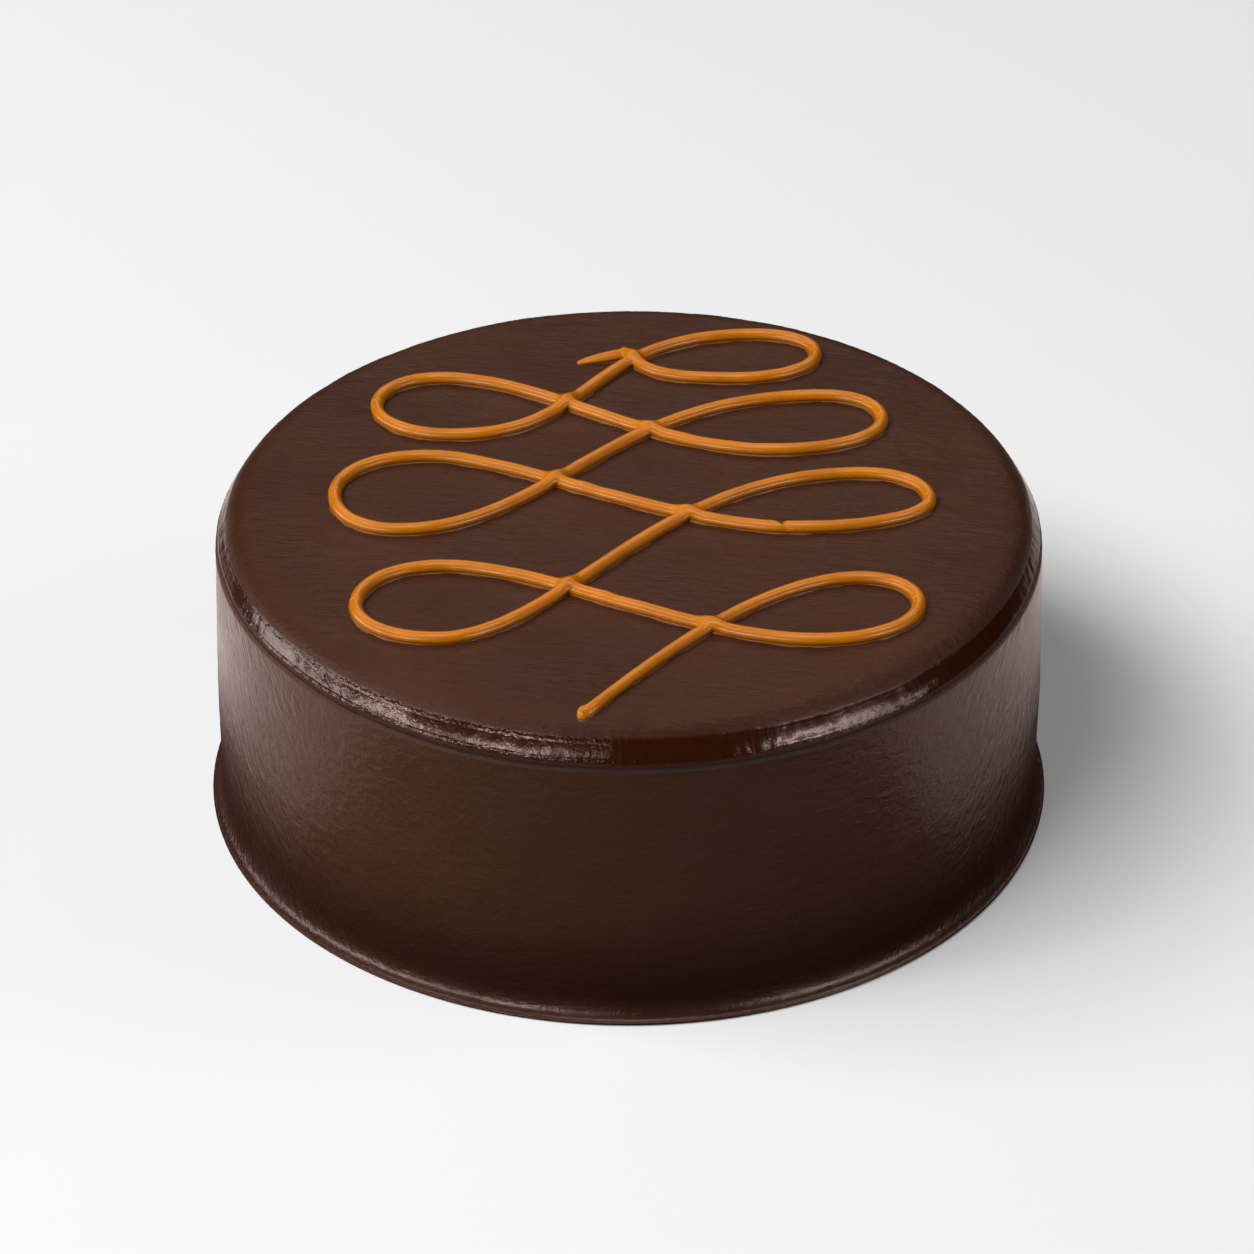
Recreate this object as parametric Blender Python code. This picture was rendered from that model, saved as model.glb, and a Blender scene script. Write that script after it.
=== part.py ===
"""Round chocolate-iced cake with one line of caramel piped over its top in seven open loops.

The cake stands on z = 0 with its axis on +Z. The line starts at the front edge (-Y), swings from side
to side over loops that lie to the right (+X) and to the left in turn, and ends in a short tail at the
back. The line lies in the icing and is one solid with it.
"""

import math
from collections import namedtuple

import bmesh
import bpy
from mathutils import Vector

MM = 0.001

# The iced cake, in mm: a drum with a softly rounded rim and a foot that flares out where the icing
# was scraped down to the plate.
CAKE_HEIGHT = 78.5
RIM_RADIUS = 97.8
RIM_WIDTH = 9.0
RIM_DROP = 9.9
MIDDLE_RADIUS = 98.9
MIDDLE_HEIGHT = 32.0
FLARE_HEIGHT = 5.5
FOOT_RADIUS = 101.6
FOOT_EDGE = 0.8

# The caramel line, in mm: the size of its rounded bead above the icing, how far that reaches into the
# icing, how far it rises over an earlier stretch, and the size of the flatter tail that ends it.
BEAD_WIDTH = 3.2
BEAD_HEIGHT = 2.5
BEAD_DEPTH = 0.3
CROSSING_LIFT = 0.9
CROSSING_REACH = 4.5
TAIL_WIDTH = 3.8
TAIL_HEIGHT = 2.0

# Shares of the full bead: what the line lacks at its start, how far along the taper the tail ends, and
# the size of a stretch where it joins the one before it and where it lies hidden inside that.
START_THINNING = 0.16
TAIL_TAPER = 0.95
JOIN_SCALE = 0.96
INSIDE_SCALE = 0.5

# The loops, from the front of the cake to the back and in the order in which they were piped, with
# (x, y) in mm: where a loop is farthest back, farthest out and farthest forward, and how long the line
# keeps its direction where it swings in to the loop and out of it again.
Loop = namedtuple("Loop", "back tip front swing_in swing_out")
LOOPS = (
    Loop((53.0, -37.0), (66.0, -47.0), (42.0, -63.0), 23.5, 27.0),
    Loop((-42.5, -32.0), (-62.0, -48.0), (-43.0, -62.5), 23.5, 27.5),
    Loop((55.5, 9.5), (71.0, -2.0), (39.0, -15.0), 50.0, 29.5),
    Loop((-48.5, 17.5), (-69.5, 0.5), (-54.0, -16.0), 21.0, 36.5),
    Loop((48.0, 46.5), (61.5, 35.5), (35.0, 20.5), 54.0, 32.0),
    Loop((-46.0, 55.0), (-61.5, 42.0), (-42.5, 27.5), 26.0, 36.0),
    Loop((32.0, 77.0), (46.5, 67.5), (26.0, 55.0), 44.5, 23.5),
)
LOOP_ROUNDNESS = 0.58
START = (-9.2, -91.4)
START_HANDLE = (10.0, 13.5)
HOOK = (-1.2, 67.6)
HOOK_HANDLE = (5.0, -5.5)
TAIL_END = (-12.8, 63.6)

# How finely the shapes are divided.
TURN_STEPS = 120
RIM_STEPS = 7
FLARE_STEPS = 4
FOOT_STEPS = 2
ARC_STEPS = 7
SWING_STEPS = 20
TAIL_STEPS = 5
BEAD_SIDES = 8
NOSE_STEPS = 3
PARALLEL = 1e-9

CHOCOLATE = (0.060, 0.030, 0.019)
CHOCOLATE_ROUGHNESS = 0.38
CARAMEL = (0.62, 0.22, 0.015)
CARAMEL_ROUGHNESS = 0.28
SHARP_ANGLE = math.radians(50)

Station = namedtuple("Station", "point width height lift")


def clear_scene():
    for obj in list(bpy.data.objects):
        bpy.data.objects.remove(obj, do_unlink=True)


def make_material(name, colour, roughness):
    material = bpy.data.materials.new(name)
    material.use_nodes = True
    shader = material.node_tree.nodes["Principled BSDF"]
    shader.inputs["Base Color"].default_value = (*colour, 1.0)
    shader.inputs["Roughness"].default_value = roughness
    shader.inputs["Metallic"].default_value = 0.0
    return material


def make_object(name, shape, material, collection):
    """Turns a bmesh in mm into an object in metres."""
    bmesh.ops.scale(shape, vec=Vector((MM, MM, MM)), verts=shape.verts)
    bmesh.ops.recalc_face_normals(shape, faces=shape.faces)
    mesh = bpy.data.meshes.new(name)
    shape.to_mesh(mesh)
    shape.free()
    mesh.materials.append(material)
    obj = bpy.data.objects.new(name, mesh)
    collection.objects.link(obj)
    return obj


def cake_profile():
    """The (radius, height) points of the icing, from the edge of its flat top down to its base."""
    profile = []
    for step in range(RIM_STEPS + 1):
        angle = math.pi / 2 * step / RIM_STEPS
        radius = RIM_RADIUS - RIM_WIDTH * (1 - math.sin(angle))
        height = CAKE_HEIGHT - RIM_DROP * (1 - math.cos(angle))
        profile.append((radius, height))
    profile.append((MIDDLE_RADIUS, MIDDLE_HEIGHT))
    flare = FOOT_RADIUS - MIDDLE_RADIUS
    for step in range(FLARE_STEPS + 1):
        angle = math.pi / 2 * step / FLARE_STEPS
        radius = MIDDLE_RADIUS + flare * (1 - math.cos(angle))
        height = FOOT_EDGE + FLARE_HEIGHT * (1 - math.sin(angle))
        profile.append((radius, height))
    for step in range(1, FOOT_STEPS + 1):
        angle = math.pi / 2 * step / FOOT_STEPS
        radius = FOOT_RADIUS - FOOT_EDGE * (1 - math.cos(angle))
        height = FOOT_EDGE * (1 - math.sin(angle))
        profile.append((radius, height))
    return profile


def icing_height(radius):
    """The height of the icing's top at this distance from the axis: flat, then down over the rim."""
    over = max(0.0, radius - (RIM_RADIUS - RIM_WIDTH)) / RIM_WIDTH
    return CAKE_HEIGHT - RIM_DROP * (1 - math.sqrt(1 - over ** 2))


def cake_shape():
    """The profile turned about +Z, with a flat face on the top and on the base."""
    shape = bmesh.new()
    outline = [shape.verts.new((radius, 0, height)) for radius, height in cake_profile()]
    edges = [shape.edges.new(pair) for pair in zip(outline, outline[1:])]
    bmesh.ops.spin(
        shape, geom=outline + edges, cent=(0, 0, 0), axis=(0, 0, 1),
        angle=2 * math.pi, steps=TURN_STEPS, use_merge=True,
    )
    bmesh.ops.holes_fill(shape, edges=[edge for edge in shape.edges if edge.is_boundary])
    return shape


def bezier(start, start_handle, end_handle, end, steps):
    """Points on a cubic curve, leaving out its last one."""
    points = []
    for step in range(steps):
        t = step / steps
        point = (1 - t) ** 3 * start + 3 * (1 - t) ** 2 * t * start_handle
        point += 3 * (1 - t) * t ** 2 * end_handle + t ** 3 * end
        points.append(point)
    return points


def route():
    """The centre line of the piping on the cake's top, and the places in it of the loops' tips."""
    points = []
    tips = []
    previous = Vector(START)
    leaving = previous + Vector(START_HANDLE)
    for number, loop in enumerate(LOOPS):
        out = Vector((1 if number % 2 == 0 else -1, 0))
        away = Vector((0, 1))
        back, tip, front = Vector(loop.back), Vector(loop.tip), Vector(loop.front)
        round_back = LOOP_ROUNDNESS * (tip - back)
        round_front = LOOP_ROUNDNESS * (tip - front)
        points += bezier(previous, leaving, back - out * loop.swing_in, back, SWING_STEPS)
        points += bezier(
            back, back + out * abs(round_back.x), tip + away * abs(round_back.y), tip, ARC_STEPS
        )
        tips.append(len(points))
        points += bezier(
            tip, tip - away * abs(round_front.y), front + out * abs(round_front.x), front, ARC_STEPS
        )
        previous = front
        leaving = front - out * loop.swing_out
    hook = Vector(HOOK)
    points += bezier(previous, leaving, hook + Vector(HOOK_HANDLE), hook, SWING_STEPS // 2)
    points.append(hook)
    return points, tips


def crossing_of(under, over):
    """The point where one stretch of the line passes over another."""
    for a, b in zip(under, under[1:]):
        for c, d in zip(over, over[1:]):
            first, second, gap = b - a, d - c, c - a
            turn = first.x * second.y - first.y * second.x
            if abs(turn) < PARALLEL:
                continue
            along_first = (gap.x * second.y - gap.y * second.x) / turn
            along_second = (gap.x * first.y - gap.y * first.x) / turn
            if 0 <= along_first <= 1 and 0 <= along_second <= 1:
                return a + along_first * first
    return None


def lift_near(point, crossing):
    """How far the bead rises where it passes over the line that was piped before it."""
    if crossing is None:
        return 0.0
    distance = min(1.0, (point - crossing).length / CROSSING_REACH)
    return CROSSING_LIFT * (1 + math.cos(math.pi * distance)) / 2


def thinned(station, scale):
    return station._replace(width=station.width * scale, height=station.height * scale)


def nose(end, inner):
    """Shrinking stations past an end of the bead, from the inside out, that close it in a round nose."""
    outward = (end.point - inner.point).normalized()
    stations = []
    for step in range(1, NOSE_STEPS + 1):
        angle = math.pi / 2 * step / (NOSE_STEPS + 1)
        point = end.point + outward * (end.width / 2 * math.sin(angle))
        stations.append(thinned(end._replace(point=point), math.cos(angle)))
    return stations


def stretch_stations(stretch, crossing, starting):
    """The bead's stations along one stretch. The line is thin where it starts."""
    stations = []
    for place, point in enumerate(stretch):
        station = Station(point, BEAD_WIDTH, BEAD_HEIGHT, lift_near(point, crossing))
        if starting:
            station = thinned(station, 1 - START_THINNING * max(0.0, 1 - place / SWING_STEPS))
        stations.append(station)
    return stations


def line_stretches():
    """Cuts the route at the loops' tips into stretches that don't cross themselves.

    Each stretch reaches one station into its neighbours, where it is thin and so lies inside them.
    """
    points, tips = route()
    starts = [0] + tips
    ends = tips + [len(points) - 1]
    stretches = []
    before = None
    for first, last in zip(starts, ends):
        stretch = points[first:last + 1]
        crossing = crossing_of(before, stretch) if before else None
        stations = stretch_stations(stretch, crossing, starting=before is None)
        if before is None:
            stations = nose(stations[0], stations[1])[::-1] + stations
        else:
            inside = stations[0]._replace(point=points[first - 1])
            stations[0] = thinned(stations[0], JOIN_SCALE)
            stations.insert(0, thinned(inside, INSIDE_SCALE))
        if last == len(points) - 1:
            stations += nose(stations[-1], stations[-2])
        else:
            inside = stations[-1]._replace(point=points[last + 1])
            stations.append(thinned(inside, INSIDE_SCALE))
        stretches.append(stations)
        before = stretch
    return stretches


def tail():
    """The short tail that ends the line: broad at the hook, and drawn out to a low point."""
    start, end = Vector(HOOK), Vector(TAIL_END)
    stations = []
    for step in range(TAIL_STEPS + 1):
        along = step / TAIL_STEPS
        station = Station(start.lerp(end, along), TAIL_WIDTH, TAIL_HEIGHT, 0.0)
        stations.append(thinned(station, math.sqrt(1 - (TAIL_TAPER * along) ** 2)))
    return nose(stations[0], stations[1])[::-1] + stations


def bead_ring(station, forward):
    """One cross-section: an oval sunk a little into the icing, whose upper half can be lifted."""
    sideways = Vector((forward.y, -forward.x))
    half_width = station.width / 2
    half_height = (station.height + BEAD_DEPTH) / 2
    ring = []
    for side in range(BEAD_SIDES):
        angle = 2 * math.pi * side / BEAD_SIDES
        flat = station.point + sideways * (half_width * math.cos(angle))
        height = icing_height(flat.length) - BEAD_DEPTH + half_height * (1 + math.sin(angle))
        if side <= BEAD_SIDES // 2:
            height += station.lift
        ring.append((flat.x, flat.y, height))
    return ring


def bead_shape(stations):
    """A closed bead swept along its stations."""
    shape = bmesh.new()
    rings = []
    for place, station in enumerate(stations):
        behind = stations[max(0, place - 1)].point
        ahead = stations[min(len(stations) - 1, place + 1)].point
        ring = bead_ring(station, (ahead - behind).normalized())
        rings.append([shape.verts.new(corner) for corner in ring])
    for near, far in zip(rings, rings[1:]):
        for side in range(BEAD_SIDES):
            after = (side + 1) % BEAD_SIDES
            shape.faces.new((near[side], near[after], far[after], far[side]))
    shape.faces.new(rings[0])
    shape.faces.new(rings[-1])
    return shape


def fuse(body, pieces):
    """Joins a collection of pieces to the body by one Boolean, and removes them."""
    union = body.modifiers.new("fuse", "BOOLEAN")
    union.operation = "UNION"
    union.solver = "EXACT"
    union.operand_type = "COLLECTION"
    union.collection = pieces
    union.material_mode = "TRANSFER"
    graph = bpy.context.evaluated_depsgraph_get()
    fused = bpy.data.meshes.new_from_object(body.evaluated_get(graph), depsgraph=graph)
    body.modifiers.clear()
    body.data = fused
    for piece in list(pieces.objects):
        bpy.data.objects.remove(piece, do_unlink=True)
    bpy.data.collections.remove(pieces)


def main():
    clear_scene()
    scene_collection = bpy.context.scene.collection
    chocolate = make_material("chocolate_icing", CHOCOLATE, CHOCOLATE_ROUGHNESS)
    caramel = make_material("caramel", CARAMEL, CARAMEL_ROUGHNESS)
    cake = make_object("chocolate_cake", cake_shape(), chocolate, scene_collection)
    line = bpy.data.collections.new("caramel_line")
    scene_collection.children.link(line)
    for number, stations in enumerate(line_stretches() + [tail()]):
        make_object(f"caramel_stretch_{number}", bead_shape(stations), caramel, line)
    bpy.context.view_layer.update()
    fuse(cake, line)
    cake.data.shade_smooth()
    cake.data.set_sharp_from_angle(angle=SHARP_ANGLE)


main()
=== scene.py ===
"""Round chocolate-iced cake with one line of caramel piped over its top in seven open loops.

The icing is two closed shells that meet in the crease under the rim: a cap, which is the top with its
rounded rim, and a wall, which is the side with its foot. Their relief is in the mesh. The caramel is
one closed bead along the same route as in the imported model.
"""

import math
from collections import namedtuple

import bmesh
import bpy
import numpy as np
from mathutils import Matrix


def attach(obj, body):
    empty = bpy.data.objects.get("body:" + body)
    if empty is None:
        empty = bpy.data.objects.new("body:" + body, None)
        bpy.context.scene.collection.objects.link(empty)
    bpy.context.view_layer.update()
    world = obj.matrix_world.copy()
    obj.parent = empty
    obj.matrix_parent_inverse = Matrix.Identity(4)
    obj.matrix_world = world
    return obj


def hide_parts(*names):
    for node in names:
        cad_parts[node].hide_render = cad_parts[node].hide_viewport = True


MM = 0.001
FULL_TURN = 2 * math.pi

# The iced cake, in mm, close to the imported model.
CAKE_HEIGHT = 78.5
RIM_RADIUS = 97.8
MIDDLE_RADIUS = 99.2
MIDDLE_HEIGHT = 32.0
FOOT_RADIUS = 101.9
FOOT_EDGE = 0.8
FLARE_HEIGHT = 5.5

# The rim: the radius where it leaves the flat top, and its slope in degrees at every mm from there down
# to the lip. Then in mm, as (radius, height): how the lip rolls in to the crease, from the rim's last
# point, and where the wall starts under the lip.
RIM_START = 88.5
RIM_SLOPES = (
    0.8, 4.6, 11.0, 18.6, 27.1, 35.8, 44.5, 51.0, 54.5, 57.0, 59.0, 60.7, 62.5, 65.0, 68.5, 74.0,
)
LIP_ROLL = ((0.0, -0.10), (-0.08, -0.20), (-0.30, -0.28), (-0.7, -0.32), (-1.2, -0.34), (-2.2, -0.30))
WALL_TOP = ((94.0, 68.55), (97.1, 68.55), (97.6, 68.4), (97.85, 68.0), (97.95, 67.4))

# The crease is lowest at the front, and climbs to the sides, in degrees from the front and mm.
CREASE_TURNS = (0.0, 20.0, 30.0, 40.0, 50.0, 60.0, 70.0, 78.0, 110.0, 180.0)
CREASE_CLIMB = (0.0, 0.1, 0.25, 0.6, 0.95, 1.45, 2.0, 2.3, 2.0, 1.6)
WALL_CLIMB_SHARE = 0.9

# Where the cake is out of round, in degrees and mm: direction, reach and how far it bulges.
BULGES = ((52.0, 28.0, 0.55), (135.0, 32.0, -0.40))

# Where the climb, the bulges and the relief set in or end, as (none, all) in mm: by the distance over
# the rim from the flat top, by the distance from the axis, or by the height.
CLIMB_SETS_IN_OVER = 7.0
BULGES_BY_RADIUS = (60.0, 95.0)
BULGES_BY_HEIGHT = (4.0, 40.0)
CLIMB_BY_HEIGHT = (40.0, 68.0)
WALL_RELIEF_BY_HEIGHT = (0.2, 2.0)
WALL_RELIEF_ENDS = (66.0, 69.0)
UNDER_RIM_BY_HEIGHT = (66.6, 67.6)
TOP_RELIEF_ENDS_OVER = (0.0, 4.0)
TOP_RELIEF_ON_RIM = 0.35
RIM_RELIEF_BY_OVER = (2.0, 5.0)

# The icing's relief, as layers of noise: the height, the length of the forms in a first and in a second
# direction, in mm, and the seed.
Layer = namedtuple("Layer", "height first second seed")
CREASE_LAYERS = (Layer(0.16, 11.0, 1.0, 41), Layer(0.07, 2.6, 1.0, 42))

# The top's layers, from side to side and from front to back. The spatula's drags and the ripples across
# them lean a little, more so away from the middle. The ripples come in patches.
TOP_SWELL = Layer(0.10, 32.0, 32.0, 11)
TOP_DRAGS = Layer(0.085, 26.0, 2.6, 12)
TOP_RIPPLES = Layer(0.085, 3.4, 1.25, 13)
TOP_DIMPLES = Layer(0.04, 2.0, 1.6, 15)
TOP_FOLDS = Layer(0.16, 7.0, 5.0, 19)
RIPPLE_STRENGTH = 0.6
RIPPLE_PATCHES = Layer(0.5, 14.0, 14.0, 14)
DRAG_LEAN = 0.22
DRAG_LEAN_REACH = 40.0

# The rim's layers, around and over it: fine marks across it, and slow waves.
RIM_LAYERS = (Layer(0.070, 0.85, 5.5, 16), Layer(0.042, 1.6, 9.0, 17), Layer(0.13, 14.0, 6.0, 18))

# The wall's layers, around it and upwards. The ripples lie in a band, the tracks of the scraper near the
# foot, and the leaning streaks at the left and right sides.
WALL_LAYERS = (Layer(0.12, 40.0, 40.0, 21), Layer(0.050, 3.0, 1.5, 22), Layer(0.030, 1.6, 1.3, 23))
WALL_RIPPLES = Layer(0.075, 3.2, 2.2, 26)
RIPPLES_HEIGHT = 23.0
RIPPLES_REACH = 7.0
WALL_TRACKS = Layer(0.05, 90.0, 2.6, 24)
TRACKS_END = (8.0, 22.0)
WALL_STREAKS = Layer(0.085, 1.1, 13.0, 25)
STREAKS_BY_SIDE = (0.80, 0.97)
STREAK_LEAN = 0.35

# Strokes of the spatula in the top, in mm: from, to, depth and width. Then small pits: their places,
# their depth and their size.
SCRATCHES = (
    ((-66.6, -70.7), (-62.0, -74.7), 0.07, 0.5), ((-35.4, -70.7), (-23.1, -74.7), 0.05, 0.6),
    ((33.3, -85.0), (44.5, -79.5), 0.06, 0.7), ((30.0, -82.0), (38.0, -78.5), 0.04, 0.6),
    ((-58.0, -66.0), (-44.0, -69.5), 0.05, 0.7), ((-20.0, -81.0), (4.0, -79.0), 0.05, 0.8),
    ((8.0, -71.0), (27.0, -67.0), 0.04, 0.8), ((-76.0, -20.0), (-70.0, -33.0), 0.05, 0.6),
    ((68.0, -30.0), (78.0, -18.0), 0.05, 0.7), ((-14.0, 36.0), (6.0, 38.0), 0.04, 0.8),
)
PITS = ((-12.9, -85.8), (26.5, -95.2), (-53.0, -76.5))
PIT_DEPTH = 0.12
PIT_SIZE = 0.55

# The caramel line, in mm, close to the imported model: the size of its bead, how far and over what length
# it rises over an earlier stretch, and the size of the tail that ends it.
BEAD_WIDTH = 3.2
BEAD_HEIGHT = 2.5
CROSSING_LIFT = 0.9
CROSSING_REACH = 4.5
TAIL_WIDTH = 3.8
TAIL_HEIGHT = 2.0

# Shares: what the bead lacks at its start, over how much of the way to the first tip; how far along its
# taper the tail ends; and the bead's size where a stretch joins the one before it and hides inside it.
START_THINNING = 0.16
START_REACH = 0.75
TAIL_TAPER = 0.95
JOIN_SCALE = 0.985
INSIDE_SCALE = 0.5

# The loops, with (x, y) in mm: where a loop is farthest back, farthest out and farthest forward, and how
# long the line keeps its direction where it swings in to the loop and out of it.
Loop = namedtuple("Loop", "back tip front swing_in swing_out")
LOOPS = (
    Loop((53.0, -37.0), (66.0, -47.0), (42.0, -63.0), 23.5, 27.0),
    Loop((-42.5, -32.0), (-62.0, -48.0), (-43.0, -62.5), 23.5, 27.5),
    Loop((55.5, 9.5), (71.0, -2.0), (39.0, -15.0), 50.0, 29.5),
    Loop((-48.5, 17.5), (-69.5, 0.5), (-54.0, -16.0), 21.0, 36.5),
    Loop((48.0, 46.5), (61.5, 35.5), (35.0, 20.5), 54.0, 32.0),
    Loop((-46.0, 55.0), (-61.5, 42.0), (-42.5, 27.5), 26.0, 36.0),
    Loop((32.0, 77.0), (46.5, 67.5), (26.0, 55.0), 44.5, 23.5),
)
LOOP_ROUNDNESS = 0.58
START = (-10.1, -91.1)
START_BEND = ((-8.6, -90.9), (-7.6, -89.3), (-6.8, -88.2))
START_HANDLE = (8.5, 11.5)
HOOK = (-1.2, 67.6)
HOOK_HANDLE = (5.0, -5.5)
TAIL_END = (-12.8, 63.6)

# Half of the bead's cross-section, from its crest down to under its foot, as shares of its half width
# and of its height. It is drawn in over its foot, where a thin film spreads on the icing. A stretch that
# passes over another is lifted as a whole from one share of its height up.
CREST_TO_FOOT = (
    (0.0, 1.0), (0.21, 0.985), (0.41, 0.94), (0.59, 0.865), (0.75, 0.76), (0.88, 0.63), (0.965, 0.49),
    (1.0, 0.36), (0.98, 0.25), (0.93, 0.16), (0.895, 0.09), (0.93, 0.035), (1.04, 0.0), (1.16, -0.02),
    (1.05, -0.12), (0.5, -0.12),
)
LIFTED_FROM = 0.35

# How uneven the hand makes the bead, in shares of its width and of its height, and its lumps and thin
# places: x, y and reach in mm, and the share that is gained.
WIDTH_LAYERS = (Layer(0.030, 11.0, 1.0, 31), Layer(0.018, 3.5, 1.0, 32))
HEIGHT_LAYERS = (Layer(0.035, 8.0, 1.0, 33), Layer(0.022, 3.0, 1.0, 34))
LUMPS = (
    (-11.0, 1.8, 1.6, 0.07), (-7.2, 0.2, 2.0, -0.05), (-5.6, -46.0, 1.8, 0.06),
    (-3.0, -47.2, 1.8, -0.04), (-5.4, -89.6, 1.2, 0.08), (-8.6, -92.6, 1.5, 0.06),
)

# The nick in one loop, in mm, from the back edge of the bead over its crest. It gets shallower on its
# way by a share, cuts only what rises over the icing, and drags the caramel forwards by a share.
NICK = ((35.2, -13.7), (37.2, -16.4))
NICK_DEPTH = 0.9
NICK_WIDTH = 0.6
NICK_FADE = 0.6
NICK_BY_RISE = (0.3, 1.2)
NICK_DRAG = 0.8

# How two stretches of the bead run together where they cross, in mm: how near they have to be, and how
# near the crossing, in full up to a share of that. There is no fillet at the foot, by shares of the
# height. At last the joint is softened where it rises over the icing.
BLEND = 1.6
BLEND_WINDOW = 7.0
BLEND_IN_FULL = 0.6
BLEND_BY_HEIGHT = (0.10, 0.45)
BEAD_MIDDLE = 0.42
SOFTENED = 3.2
SOFTENED_ABOVE = 0.5
SOFTENING_ROUNDS = 4
SOFTENING_STRENGTH = 0.5

# The film at the bead's foot, by its rise over the icing in mm.
FILM_BY_RISE = (0.10, 0.30)

# How finely the meshes are divided, in parts or in mm, and how near two points are the same, in mm.
TOP_RINGS = 153
RIM_STEP = 0.6
FINE_STEPS_TO_MM = 20
WALL_COLUMNS = 900
WALL_STEP = 0.66
FLARE_POINTS = 10
EDGE_POINTS = 4
BEAD_STEP = 0.65
FEWEST_BEAD_STEPS = 4
HANDLE_SHARE = 0.3
START_STEPS = 7
TAIL_POINTS = 24
NOSE_STEPS = 8
SAME_POINT = 0.002

# The noise: its cells until it repeats, its gain, and the row that values along a line are read from.
# Then what counts as parallel.
NOISE_CELLS = 256
NOISE_GAIN = 1.6
NOISE_ROW = 0.5
PARALLEL = 1e-9

Stretch = namedtuple("Stretch", "centre width height lift")


class Noise:
    """Smooth noise in space, from about -1 to 1, one bump to a unit."""

    def __init__(self, seed):
        draw = np.random.default_rng(seed)
        self.order = draw.permutation(NOISE_CELLS)
        slopes = draw.normal(size=(NOISE_CELLS, 3))
        self.slopes = slopes / np.linalg.norm(slopes, axis=1)[:, None]

    def __call__(self, x, y, z=0.0):
        points = np.stack(np.broadcast_arrays(x, y, z), axis=-1)
        cell = np.floor(points).astype(int)
        inside = points - cell
        ease = inside ** 3 * (inside * (inside * 6 - 15) + 10)
        total = np.zeros(points.shape[:-1])
        for corner in np.ndindex(2, 2, 2):
            pick = 0
            for axis in (2, 1, 0):
                pick = self.order[(cell[..., axis] + corner[axis] + pick) % NOISE_CELLS]
            weight = np.prod(np.where(corner, ease, 1 - ease), axis=-1)
            total += weight * np.sum(self.slopes[pick] * (inside - corner), axis=-1)
        return NOISE_GAIN * total


def layer_height(layer, first, second=NOISE_ROW):
    """The height of one layer of relief at places in its two directions."""
    return layer.height * Noise(layer.seed)(first / layer.first, second / layer.second)


def smooth_step(value, low, high):
    """0 up to low, 1 from high, and smooth in between."""
    t = np.clip((value - low) / (high - low), 0.0, 1.0)
    return t * t * (3 - 2 * t)


def bezier(start, start_handle, end_handle, end, count):
    """Points on a cubic curve, leaving out its last one."""
    t = (np.arange(count) / count)[:, None]
    points = (1 - t) ** 3 * start + 3 * (1 - t) ** 2 * t * start_handle
    return points + 3 * (1 - t) * t ** 2 * end_handle + t ** 3 * end


def mesh_object(name, vertices, faces):
    """A smooth-shaded mesh from points in mm and a list of faces."""
    mesh = bpy.data.meshes.new(name)
    mesh.from_pydata((np.asarray(vertices) * MM).tolist(), [], faces)
    mesh.shade_smooth()
    obj = bpy.data.objects.new(name, mesh)
    bpy.context.scene.collection.objects.link(obj)
    return obj


def bulge(azimuth):
    """How far the cake is out of round in each direction, in mm."""
    total = np.zeros_like(azimuth)
    for direction, reach, size in BULGES:
        away = (np.degrees(azimuth) - direction + 180) % 360 - 180
        total += size * np.exp(-((away / reach) ** 2))
    return total


def crease_climb(azimuth):
    """How much higher the crease is in each direction than at the front, in mm."""
    from_front = np.abs((np.degrees(azimuth) + 90 + 180) % 360 - 180)
    uneven = sum(layer_height(layer, azimuth * RIM_RADIUS) for layer in CREASE_LAYERS)
    return np.interp(from_front, CREASE_TURNS, CREASE_CLIMB) + uneven


def profile_normals(profile):
    """Unit normals of a (radius, height) line that runs outwards and down."""
    along = np.gradient(profile, axis=0)
    normals = np.stack([-along[:, 1], along[:, 0]], axis=1)
    return normals / np.linalg.norm(normals, axis=1)[:, None]


def lengths_along(points):
    """The way from the first point of a line to each of its points."""
    return np.concatenate([[0], np.cumsum(np.linalg.norm(np.diff(points, axis=0), axis=1))])


def even_line(points, step):
    """The same line with points about one step apart."""
    points = np.asarray(points, float)
    lengths = lengths_along(points)
    places = np.linspace(0, lengths[-1], max(2, round(lengths[-1] / step) + 1))
    return np.stack([np.interp(places, lengths, points[:, axis]) for axis in range(points.shape[1])], axis=1)


def rim_curve():
    """The rim's line from the flat top to the lip, as (radius, height)."""
    places = np.arange(len(RIM_SLOPES))
    fine = np.linspace(0, places[-1], FINE_STEPS_TO_MM * places[-1] + 1)
    slopes = np.radians(np.interp(fine, places, RIM_SLOPES))
    steps = np.stack([np.cos(slopes), -np.sin(slopes)], axis=1)[1:] * (fine[1] - fine[0])
    return np.concatenate([[(0.0, 0.0)], np.cumsum(steps, axis=0)]) + (RIM_START, CAKE_HEIGHT)


def ring_faces(first, second):
    """Quads between two closed rings of as many points; the first ring is the inner or upper one."""
    after_first, after_second = np.roll(first, -1), np.roll(second, -1)
    return np.stack([first, second, after_second, after_first], axis=1).tolist()


def tube_faces(count, sides):
    """Quads between the rings of a tube with so many points in all, and one face to close each end."""
    rows = np.arange(count).reshape(-1, sides)
    faces = []
    for first, second in zip(rows, rows[1:]):
        faces += ring_faces(first, second)
    return faces + [rows[0].tolist(), rows[-1][::-1].tolist()]


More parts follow.
